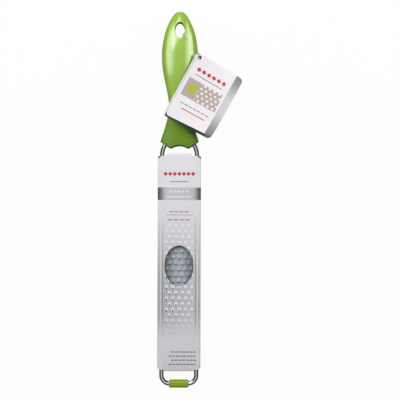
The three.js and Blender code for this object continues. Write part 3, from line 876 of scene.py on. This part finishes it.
def resize_ring(piece, y, factors):
    """Scales the ring at a place: across, above the wire's height and below it."""
    def ring(vert):
        return abs(vert.co.y - y) < SAME_PLACE / 2

    width, crown, back = factors
    pivot = (0, y, WIRE_Z)
    pick(piece, "VERT", ring)
    stretch(width, 1, 1, pivot)
    pick(piece, "VERT", lambda vert: ring(vert) and vert.co.z > WIRE_Z)
    stretch(1, 1, crown, pivot)
    pick(piece, "VERT", lambda vert: ring(vert) and vert.co.z < WIRE_Z)
    stretch(1, 1, back, pivot)
    pick(piece, "FACE", lambda face: all(ring(vert) for vert in face.verts))


def hanging_hole(sizes, shape):
    """Cutter for the hanging hole: an oval bore whose front rim rolls outwards."""
    near, smoothed = 4 * MM, 0.985  # where the slope is read, and what smoothing leaves
    steps, last_angle = 7, 80  # of the rim's roll
    centre = shape.tip - sizes.hole_from_tip
    lean = math.atan2(shape.at(centre + near)[1] - shape.at(centre - near)[1], 2 * near)
    flare = sizes.hole_flare
    rim = WIRE_Z + shape.at(centre)[1] * smoothed - flare
    half_x, half_y = sizes.hole_width / 2, sizes.hole_length / 2
    cutter = start(
        bpy.ops.mesh.primitive_circle_add, "hole_cutter",
        vertices=64, radius=half_y, fill_type="NGON", location=(0, centre, -CUT_PAST),
    )
    stretch(sizes.hole_width / sizes.hole_length, 1, 1, (0, centre, 0))
    extrude(0, 0, rim + CUT_PAST)
    bpy.ops.transform.rotate(
        value=-lean, orient_axis="X", center_override=(0, centre, rim),
    )
    grown, risen = 0.0, 0.0
    for step in range(1, steps + 1):
        angle = math.radians(last_angle * step / steps)
        wider, higher = flare * (1 - math.cos(angle)), flare * math.sin(angle)
        extrude(0, -math.sin(lean) * (higher - risen), math.cos(lean) * (higher - risen))
        stretch(
            (half_x + wider) / (half_x + grown), (half_y + wider) / (half_y + grown), 1,
            (0, centre - math.sin(lean) * higher, rim + higher),
        )
        grown, risen = wider, higher
    extrude(0, 0, 3 * CUT_PAST)
    close()
    return cutter


class GRATER_OT_handle(bpy.types.Operator):
    """Model the moulded handle with its collar and hanging hole"""

    bl_idname = "grater.handle"
    bl_label = "Handle"
    bl_options = {"REGISTER", "UNDO"}

    def execute(self, context):
        sizes = context.scene.grater_sizes
        shape = HandleShape(sizes)
        places = shape.stations()
        last = shape.at(places[0])
        handle = start(
            bpy.ops.mesh.primitive_circle_add, "moulded_handle",
            vertices=32, radius=last[0], fill_type="NGON",
            location=(0, places[0], WIRE_Z), rotation=(math.pi / 2, 0, 0),
        )
        resize_ring(handle, places[0], (1, last[1] / last[0], last[2] / last[0]))
        for before, place in zip(places, places[1:]):
            extrude(0, place - before, 0)
            size = shape.at(place)
            resize_ring(handle, place, [new / old for new, old in zip(size, last)])
            last = size
        close()
        modify(handle, "SUBSURF", levels=2, render_levels=2)
        self.trim_collar(handle, sizes, shape)
        cut(handle, hanging_hole(sizes, shape))
        socket = sizes.wire_diameter + 2 * sizes.socket_clearance
        cut(handle, bent_wire(sizes, "socket_cutter", socket, extra=0.4 * MM))
        finish = finish_moulded_plastic(context.scene.grater_colours, sizes)
        settle(handle, "handle", "grater", finish, 35)
        return {"FINISHED"}

    def trim_collar(self, handle, sizes, shape):
        """Cuts the collar's edge: a slope on each side, and an arch between the two toes."""
        toe = sizes.toe_spacing / 2
        drop, rise = sizes.toe_drop + sizes.toe_blunt, sizes.arch_rise + sizes.toe_blunt
        low = shape.collar - drop
        slope = Vector((drop, toe - sizes.collar_width / 2, 0)).normalized()
        reopen(handle)
        for place, normal in (
            ((toe, low, WIRE_Z), slope),
            ((-toe, low, WIRE_Z), slope * Vector((-1, 1, 1))),
            ((0, HANDLE_LOW.y, WIRE_Z), (0, -1, 0)),
        ):
            slice_all(place, normal, use_fill=True, clear_outer=True)
        bpy.ops.object.mode_set(mode="OBJECT")
        radius = (toe * toe + rise * rise) / (2 * rise)
        arch = start(
            bpy.ops.mesh.primitive_cylinder_add, "arch_cutter",
            vertices=128, radius=radius, depth=20 * CUT_PAST,
            location=(0, low + rise - radius, WIRE_Z),
        )
        close()
        cut(handle, arch)


class GRATER_OT_foot(bpy.types.Operator):
    """Model the soft foot on the wire's cross bar"""

    bl_idname = "grater.foot"
    bl_label = "Foot"
    bl_options = {"REGISTER", "UNDO"}

    def execute(self, context):
        sizes = context.scene.grater_sizes
        size = FOOT_HIGH - FOOT_LOW
        foot = start(
            bpy.ops.mesh.primitive_cube_add, "soft_foot",
            size=1, location=FOOT_MIDDLE, scale=size,
        )
        pick(foot, "EDGE", lambda edge: abs(direction(edge).x) > 0.9)
        bpy.ops.mesh.bevel(offset=sizes.foot_edge, segments=6, affect="EDGES")
        pick(foot, "EDGE", lambda edge: abs(abs(middle(edge).x) - size.x / 2) < SAME_PLACE)
        bpy.ops.mesh.bevel(offset=sizes.foot_corner, segments=3, affect="EDGES")
        close()
        bore = sizes.wire_diameter + 2 * sizes.socket_clearance
        cut(foot, bent_wire(sizes, "bore_cutter", bore))
        finish = finish_soft_rubber(context.scene.grater_colours)
        settle(foot, "foot_grip", "grater", finish)
        modify(foot, "WEIGHTED_NORMAL", keep_sharp=True, weight=100)
        return {"FINISHED"}


class GRATER_OT_blade(bpy.types.Operator):
    """Model the toothed steel sheet, curled round the rails"""

    bl_idname = "grater.blade"
    bl_label = "Blade"
    bl_options = {"REGISTER", "UNDO"}

    def execute(self, context):
        sizes = context.scene.grater_sizes
        sheet = self.curled_sheet(sizes)
        cut(sheet, self.spread(sizes, self.mouth))
        join(sheet, self.spread(sizes, self.hood))
        finish = finish_satin_steel(context.scene.grater_colours)
        settle(sheet, "grating_blade", "grater", finish, 30)
        return {"FINISHED"}

    def sheet_top(self, sizes):
        """The height of the flat sheet's upper side."""
        return WIRE_Z + sizes.wire_diameter / 2 + sizes.curl_clearance + sizes.sheet_thickness

    def curled_sheet(self, sizes):
        """The sheet without teeth: the right half spun round its rail, then mirrored."""
        rail = sizes.rail_spacing / 2
        middle_z = self.sheet_top(sizes) - sizes.sheet_thickness / 2
        long = BLADE_HIGH.y - BLADE_LOW.y
        sheet = start(
            bpy.ops.mesh.primitive_plane_add, "toothed_blade",
            size=long, location=(rail / 2, (BLADE_LOW.y + BLADE_HIGH.y) / 2, middle_z),
        )
        stretch(rail / long, 1, 1, (rail / 2, 0, middle_z))
        pick(sheet, "EDGE", lambda edge: abs(middle(edge).x - rail) < SAME_PLACE)
        swing(CURL_ANGLE, (rail, 0, WIRE_Z), axis=(0, 1, 0), steps=22)
        bpy.ops.object.mode_set(mode="OBJECT")
        mirror(sheet)
        modify(sheet, "SOLIDIFY", thickness=sizes.sheet_thickness, offset=0)
        return sheet

    def hood(self, sizes):
        """One tooth's raised hood, open towards the foot, its rim a little way into the sheet."""
        top = self.sheet_top(sizes)
        tall = BLADE_HIGH.z - top
        sink = 0.3 * sizes.sheet_thickness
        hood = start(
            bpy.ops.mesh.primitive_uv_sphere_add, "tooth_hood",
            segments=16, ring_count=8, radius=tall, location=(0, 0, top),
        )
        stretch(sizes.tooth_width / 2 / tall, sizes.tooth_length / tall, 1, (0, 0, top))
        for normal in ((0, -1, 0), (0, 0, -1)):
            slice_all((0, 0, top), normal, clear_outer=True)
        pick(hood, "EDGE", lambda edge: abs(middle(edge).z - top) < SAME_PLACE)
        extrude(0, 0, -sink)
        merge()
        bpy.ops.object.mode_set(mode="OBJECT")
        modify(hood, "SOLIDIFY", thickness=sizes.tooth_wall, offset=-1)
        return hood

    def mouth(self, sizes):
        """Cutter for the hole under one tooth."""
        top = self.sheet_top(sizes)
        back = sizes.tooth_length - 2 * sizes.tooth_wall
        reach = (sizes.tooth_mouth + back) / 2
        cutter = start(
            bpy.ops.mesh.primitive_cylinder_add, "mouth_cutter",
            vertices=16, radius=reach, depth=4 * sizes.sheet_thickness,
            location=(0, reach - sizes.tooth_mouth, top - sizes.sheet_thickness / 2),
        )
        stretch((sizes.tooth_width / 2 - sizes.tooth_wall) / reach, 1, 1, (0, 0, top))
        close()
        return cutter

    def spread(self, sizes, make):
        """Copies one shape to all the teeth: wide rows and narrow rows in turn."""
        long = (sizes.rows - 1) * sizes.row_pitch + sizes.tooth_length
        first = (BLADE_LOW.y + BLADE_HIGH.y - long) / 2
        sets = []
        for row in (0, 1):
            columns = sizes.columns - row
            shape = make(sizes)
            reopen(shape)
            bpy.ops.mesh.select_all(action="SELECT")
            left = -(columns - 1) / 2 * sizes.column_pitch
            bpy.ops.transform.translate(value=(left, first + row * sizes.row_pitch, 0))
            bpy.ops.object.mode_set(mode="OBJECT")
            for count, step in (
                (columns, (sizes.column_pitch, 0, 0)),
                ((sizes.rows + 1 - row) // 2, (0, 2 * sizes.row_pitch, 0)),
            ):
                modify(
                    shape, "ARRAY", count=count, use_relative_offset=False,
                    use_constant_offset=True, constant_offset_displace=step,
                )
            sets.append(shape)
        join(*sets)
        return sets[0]


class GRATER_OT_sleeve(bpy.types.Operator):
    """Model the card sleeve with its window and end tabs"""

    bl_idname = "grater.sleeve"
    bl_label = "Card sleeve"
    bl_options = {"REGISTER", "UNDO"}

    def execute(self, context):
        sizes = context.scene.grater_sizes
        low = SLEEVE_LOW.y + sizes.tab_length
        high = SLEEVE_HIGH.y - sizes.tab_length
        tall = SLEEVE_HIGH.z
        sleeve = start(
            bpy.ops.mesh.primitive_cube_add, "window_sleeve",
            size=1, location=(0, (low + high) / 2, tall / 2),
            scale=(2 * SLEEVE_HIGH.x, high - low, tall),
        )
        pick(sleeve, "EDGE", lambda edge: abs(direction(edge).y) > 0.9)
        bpy.ops.mesh.bevel(offset=sizes.sleeve_fold, segments=5, affect="EDGES")
        pick(sleeve, "FACE", lambda face: abs(face.normal.y) > 0.9)
        bpy.ops.mesh.inset(thickness=sizes.card_thickness, use_individual=True)
        bpy.ops.mesh.bridge_edge_loops()
        close()
        for side in (1, -1):
            round_end = (low, 1, sizes.sleeve_corner, sizes.sleeve_corner)
            clipped_end = (high, -1, sizes.sleeve_clip, sizes.sleeve_clip_radius)
            for end in (round_end, clipped_end):
                cut(sleeve, self.corner(side, *end))
        cut(sleeve, self.window(sizes))
        self.tabs(sleeve, sizes, low, high)
        finish = finish_sleeve_card(context.scene.grater_colours, sizes)
        settle(sleeve, "card_sleeve", "sleeve", finish, 30)
        return {"FINISHED"}

    def corner(self, side, end, inward, leg, radius):
        """Cutter that takes an arc's chord, with equal legs, off one corner of the front panel."""
        half, tall = SLEEVE_HIGH.x, SLEEVE_HIGH.z
        size = leg + CUT_PAST
        centre = leg / 2 + math.sqrt(radius * radius / 2 - leg * leg / 4)
        block = start(
            bpy.ops.mesh.primitive_cube_add, "corner_cutter",
            size=size,
            location=(
                side * (half - leg + size / 2),
                end + inward * (leg - size / 2),
                tall / 2 + size / 2,
            ),
        )
        pick(block, "FACE", lambda face: face.normal.z > 0.9)
        extrude(0, 0, tall)
        close()
        rod = start(
            bpy.ops.mesh.primitive_cylinder_add, "corner_rod",
            vertices=64, radius=radius, depth=6 * tall,
            location=(side * (half - centre), end + inward * centre, tall / 2),
        )
        close()
        cut(block, rod)
        return block

    def window(self, sizes):
        """Cutter for the oval window in the front panel."""
        y = FOOT_LOW.y + sizes.window_from_foot
        cutter = start(
            bpy.ops.mesh.primitive_cylinder_add, "window_cutter",
            vertices=128, radius=sizes.window_length / 2, depth=4 * sizes.card_thickness,
            location=(0, y, SLEEVE_HIGH.z),
        )
        stretch(sizes.window_width / sizes.window_length, 1, 1, (0, y, 0))
        close()
        return cutter

    def tabs(self, sleeve, sizes, low, high):
        """Draws the two end tabs out of the front panel's ends, dipping towards the blade."""
        panel = SLEEVE_HIGH.z - 1.2 * sizes.card_thickness
        reopen(sleeve)
        for end, way, wide, long in (
            (low, -1, sizes.foot_tab_width, sizes.foot_tab_length),
            (high, 1, sizes.tab_width, sizes.tab_length),
        ):
            half = wide / 2
            for side in (half, -half):
                pick(sleeve, "FACE", lambda face: middle(face).y * way > 0)
                bpy.ops.mesh.bisect(plane_co=(side, 0, 0), plane_no=(1, 0, 0))
            pick(
                sleeve, "FACE",
                lambda face: face.normal.y * way > 0.9
                and abs(middle(face).y - end) < 10 * SAME_PLACE
                and abs(middle(face).x) < half and middle(face).z > panel,
            )
            for share, narrow, dip in TAB_STEPS:
                extrude(0, way * share * long, -dip * sizes.tab_dip)
                stretch(narrow, 1, 1, (0, end, 0))
        close()


class GRATER_OT_tag(bpy.types.Operator):
    """Model the hang tag's flat back leaf and its curled front leaf"""

    bl_idname = "grater.tag"
    bl_label = "Hang tag"
    bl_options = {"REGISTER", "UNDO"}

    def execute(self, context):
        sizes, colours = context.scene.grater_sizes, context.scene.grater_colours
        wide, top, gap = sizes.tag_width, sizes.tag_hole_inset, sizes.tag_hinge_gap
        margin = -sizes.tag_margin
        low = top - sizes.tag_back_length
        corners = [(margin, top), (wide, top), (wide, low), (margin, low - sizes.tag_back_slant)]
        back = self.leaf(sizes, "flat_back_leaf", -1, corners, sizes.tag_back_hole)
        self.lay(back, sizes, 0)
        finish = finish_tag_card(colours, sizes, "tag_back_card", False)
        settle(back, "tag_back_leaf", "tag_back", finish, 30)

        low = top - sizes.tag_length
        free = wide - sizes.tag_lean
        corners = [(gap, top), (wide, top), (free, low), (gap, low - sizes.tag_slant)]
        front = self.leaf(sizes, "curled_front_leaf", 1, corners, sizes.tag_hole)
        modify(
            front, "SIMPLE_DEFORM", deform_method="TWIST", deform_axis="Y", angle=sizes.tag_curl,
        )
        self.lay(front, sizes, sizes.tag_opening)
        finish = finish_tag_card(colours, sizes, "tag_front_card", True)
        settle(front, "tag_front_leaf", "tag_front", finish, 30)
        return {"FINISHED"}

    def leaf(self, sizes, name, side, corners, hole):
        """One leaf of the tag, drawn flat from its corners, in front of its fold or behind it."""
        wide, long = sizes.tag_width, sizes.tag_length
        height = side * (sizes.tag_thickness + sizes.tag_fold_gap) / 2
        leaf = start(
            bpy.ops.mesh.primitive_plane_add, name,
            size=wide, location=(wide / 2, -wide / 2, height),
        )
        for x, y in corners:
            square = Vector((wide * (x > wide / 2), -wide * (y < -long / 2), height))
            pick(leaf, "VERT", lambda vert: (vert.co - square).length < SAME_PLACE)
            bpy.ops.transform.translate(value=Vector((x, y, height)) - square)
        for radius, at_fold in ((sizes.tag_fold_corner, True), (sizes.tag_free_corner, False)):
            pick(leaf, "VERT", lambda vert: (vert.co.x < wide / 2) == at_fold)
            bpy.ops.mesh.bevel(offset=radius, segments=6, affect="VERTICES")
        for strip in range(1, LEAF_STRIPS):
            slice_all((wide * strip / LEAF_STRIPS, 0, 0), (1, 0, 0))
        for row in range(1, LEAF_ROWS):
            slice_all((0, -long * row / LEAF_ROWS, 0), (0, 1, 0))
        close()
        modify(leaf, "SOLIDIFY", thickness=sizes.tag_thickness, offset=0)
        cutter = start(
            bpy.ops.mesh.primitive_cylinder_add, "tag_hole_cutter",
            vertices=40, radius=hole / 2, depth=2 * CUT_PAST,
            location=(sizes.tag_hole_inset, 0, height),
        )
        close()
        cut(leaf, cutter)
        return leaf

    def lay(self, leaf, sizes, opening):
        """Lays a leaf on the fold, opened by an angle."""
        axes = tag_turn().to_matrix()
        step = (sizes.tag_thickness + sizes.tag_fold_gap) / 2
        fold = TAG_HOLE + axes @ Vector((-sizes.tag_hole_inset, 0, step))
        lie = axes @ Matrix.Rotation(-opening, 3, "Y")
        leaf.matrix_world = Matrix.Translation(fold) @ lie.to_4x4()
        only(leaf)
        bpy.ops.object.transform_apply(location=True, rotation=True, scale=True)


class GRATER_OT_loop(bpy.types.Operator):
    """Lay the nylon loop through the tag and the handle, and model its lock"""

    bl_idname = "grater.loop"
    bl_label = "Nylon loop"
    bl_options = {"REGISTER", "UNDO"}

    def execute(self, context):
        sizes = context.scene.grater_sizes
        finish = finish_clear_nylon(context.scene.grater_colours)
        lock = self.lock(finish)
        points = [Vector(point) * MM for point in LOOP_ROUTE_MM]
        curve = bpy.data.curves.new("nylon_loop", "CURVE")
        curve.dimensions = "3D"
        curve.bevel_depth = sizes.loop_diameter / 2
        curve.bevel_resolution = 3
        curve.resolution_u = 6
        curve.use_fill_caps = True
        spline = curve.splines.new("BEZIER")
        spline.bezier_points.add(len(points) - 1)
        for knot, point in zip(spline.bezier_points, points):
            knot.co = point
            knot.handle_left_type = knot.handle_right_type = "AUTO"
        loop = bpy.data.objects.new("nylon_loop", curve)
        context.collection.objects.link(loop)
        curve.materials.append(finish)
        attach(loop, "grater")
        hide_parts("tag_tie")
        return {"FINISHED"}

    def lock(self, finish):
        """The small lock head where the loop closes, with rounded edges and a dished top."""
        edge, rim, dish = 0.45 * MM, 0.4 * MM, 0.6 * MM
        lock = start(
            bpy.ops.mesh.primitive_cube_add, "loop_lock",
            size=1, location=(LOCK_LOW + LOCK_HIGH) / 2, scale=LOCK_HIGH - LOCK_LOW,
        )
        bpy.ops.mesh.select_all(action="SELECT")
        bpy.ops.mesh.bevel(offset=edge, segments=3, affect="EDGES")
        pick(lock, "FACE", lambda face: face.normal.z > 0.99)
        bpy.ops.mesh.inset(thickness=rim)
        extrude(0, 0, -dish)
        close()
        settle(lock, "tie_lock", "grater", finish)
        return lock


# Stage

# The lamps beside the handle, in metres: a side, a start along the handle and a level for each.
SIDE_LAMPS = [(-1, 0.06, 0.82), (1, 0.11, 1.15)]
# Their bands by height: from, to and how bright.
SIDE_BANDS = [(0.08, 0.2, 3.0), (0.2, 0.4, 3.7), (0.4, 0.65, 3.0), (0.65, 1.0, 1.3)]
# How far out they stand, and how they run along the handle: to a turn, then dimmer to an end.
SIDE_DISTANCE = 0.5
SIDE_TURN, SIDE_END, SIDE_END_SHARE = 0.46, 0.66, 0.6

# How bright the studio's walls are, by their height from the floor to the ceiling.
STUDIO_LEVELS = [(0.0, 0.06), (0.08, 0.03), (0.5, 0.04), (0.8, 0.12), (0.94, 0.42)]

CAMERA_PLACE = (0.01813, -0.0003, 0.9052)
CAMERA_ROLL = math.radians(0.2)
SENSOR_MM, LENS_MM = 36, 92.05


def softbox(name, place, aim, wide, long, radiance):
    """A soft rectangular lamp that shines from a place towards a point."""
    lamp = bpy.data.lights.new(name, "AREA")
    lamp.shape = "RECTANGLE"
    lamp.size, lamp.size_y = wide, long
    lamp.energy = radiance * math.pi * wide * long
    box = bpy.data.objects.new(name, lamp)
    bpy.context.collection.objects.link(box)
    box.location = place
    box.rotation_euler = (Vector(place) - Vector(aim)).to_track_quat("Z", "Y").to_euler()
    box.visible_camera = False
    return box


def side_softboxes():
    """The lamps on both sides of the handle, which light everything but the wire."""
    shaded = bpy.data.collections.new("all_but_wire")
    for side, first, level in SIDE_LAMPS:
        for low, high, radiance in SIDE_BANDS:
            for near, far, share in (
                (first, SIDE_TURN, 1.0), (SIDE_TURN, SIDE_END, SIDE_END_SHARE),
            ):
                y, z = (near + far) / 2, (low + high) / 2
                lamp = softbox(
                    "side_softbox", (side * SIDE_DISTANCE, y, z), (0, y, z),
                    far - near, high - low, radiance * share * level,
                )
                lamp.light_linking.receiver_collection = shaded


def finish_floor():
    """White floor: bright to the camera, dim in reflections and a little darker in shadows."""
    glow_share, brightness, mirrored_loss = 0.93, 1.04, 0.98
    finish = Finish("white_floor", {"Base Color": (0.35, 0.35, 0.35), "Roughness": 0.9})
    camera, mirrored, through = (
        finish.node("ShaderNodeLightPath", output=ray)
        for ray in ("Is Camera Ray", "Is Glossy Ray", "Is Transmission Ray")
    )
    seen = (camera.larger(through) * glow_share).larger(mirrored)
    glow = finish.node(
        "ShaderNodeEmission", None,
        {"Color": (1, 1, 1), "Strength": brightness - mirrored * mirrored_loss},
    )
    lit = Value(finish, finish.shader.outputs[0])
    both = finish.node("ShaderNodeMixShader", None, {0: seen, 1: lit, 2: glow})
    finish.feed(finish.tree.nodes["Material Output"].inputs["Surface"], both)
    return finish.material


def studio_world(scene):
    """A studio round the table: dim walls and a grey ceiling."""
    scene.world = bpy.data.worlds.new("studio")
    finish = Finish("studio", {}, scene.world)
    height = finish.axes(finish.node("ShaderNodeTexCoord", output="Generated"))[2]
    stops = [(place, (level,) * 3) for place, level in STUDIO_LEVELS]
    finish.vary(Color=finish.node("ShaderNodeValToRGB", {"stops": stops}, {0: height}))


class GRATER_OT_stage(bpy.types.Operator):
    """Set the white floor, the studio light and the camera above the grater"""

    bl_idname = "grater.stage"
    bl_label = "Stage"
    bl_options = {"REGISTER", "UNDO"}

    def execute(self, context):
        scene = context.scene
        scene.view_settings.view_transform = "Standard"
        floor = start(
            bpy.ops.mesh.primitive_plane_add, "studio_floor", size=30, location=(0, 0, -0.2 * MM),
        )
        close()
        floor.data.materials.append(finish_floor())

        softbox(
            "key_softbox", place=(-0.4, 0.9, 0.95), aim=(0.0, 0.03, 0),
            wide=1.2, long=0.7, radiance=3.75,
        )
        bright = softbox(
            "wire_softbox", place=(0, -0.05, 0.9), aim=(0, -0.05, 0),
            wide=0.6, long=1.2, radiance=0.4,
        )
        bright.light_linking.receiver_collection = bpy.data.collections.new("wire_alone")
        side_softboxes()
        studio_world(scene)

        camera = bpy.data.cameras.new("camera")
        camera.sensor_width = SENSOR_MM
        camera.lens = LENS_MM
        eye = bpy.data.objects.new("camera", camera)
        context.collection.objects.link(eye)
        eye.location = CAMERA_PLACE
        eye.rotation_euler = (0, 0, CAMERA_ROLL)
        scene.camera = eye
        return {"FINISHED"}


class GRATER_PT_sidebar(bpy.types.Panel):
    """Sizes, colours and pieces of the hand grater"""

    bl_idname = "GRATER_PT_sidebar"
    bl_label = "Hand grater"
    bl_space_type = "VIEW_3D"
    bl_region_type = "UI"
    bl_category = "Grater"

    def draw(self, context):
        for operator in OPERATORS:
            self.layout.operator(operator.bl_idname)
        for group in (context.scene.grater_sizes, context.scene.grater_colours):
            column = self.layout.column(align=True)
            for name in group.__annotations__:
                column.prop(group, name)


OPERATORS = (
    GRATER_OT_stage,
    GRATER_OT_tag,
    GRATER_OT_loop,
    GRATER_OT_wire,
    GRATER_OT_handle,
    GRATER_OT_foot,
    GRATER_OT_blade,
    GRATER_OT_sleeve,
)
CLASSES = (GraterSizes, GraterColours, *OPERATORS, GRATER_PT_sidebar)


def register():
    for cls in CLASSES:
        bpy.utils.register_class(cls)
    bpy.types.Scene.grater_sizes = PointerProperty(type=GraterSizes)
    bpy.types.Scene.grater_colours = PointerProperty(type=GraterColours)


def unregister():
    del bpy.types.Scene.grater_colours
    del bpy.types.Scene.grater_sizes
    for cls in reversed(CLASSES):
        bpy.utils.unregister_class(cls)


def main():
    register()
    bpy.ops.grater.stage()
    bpy.ops.grater.tag()
    bpy.ops.grater.loop()
    bpy.ops.grater.wire()
    bpy.ops.grater.handle()
    bpy.ops.grater.foot()
    bpy.ops.grater.blade()
    bpy.ops.grater.sleeve()


if __name__ == "__main__":
    main()
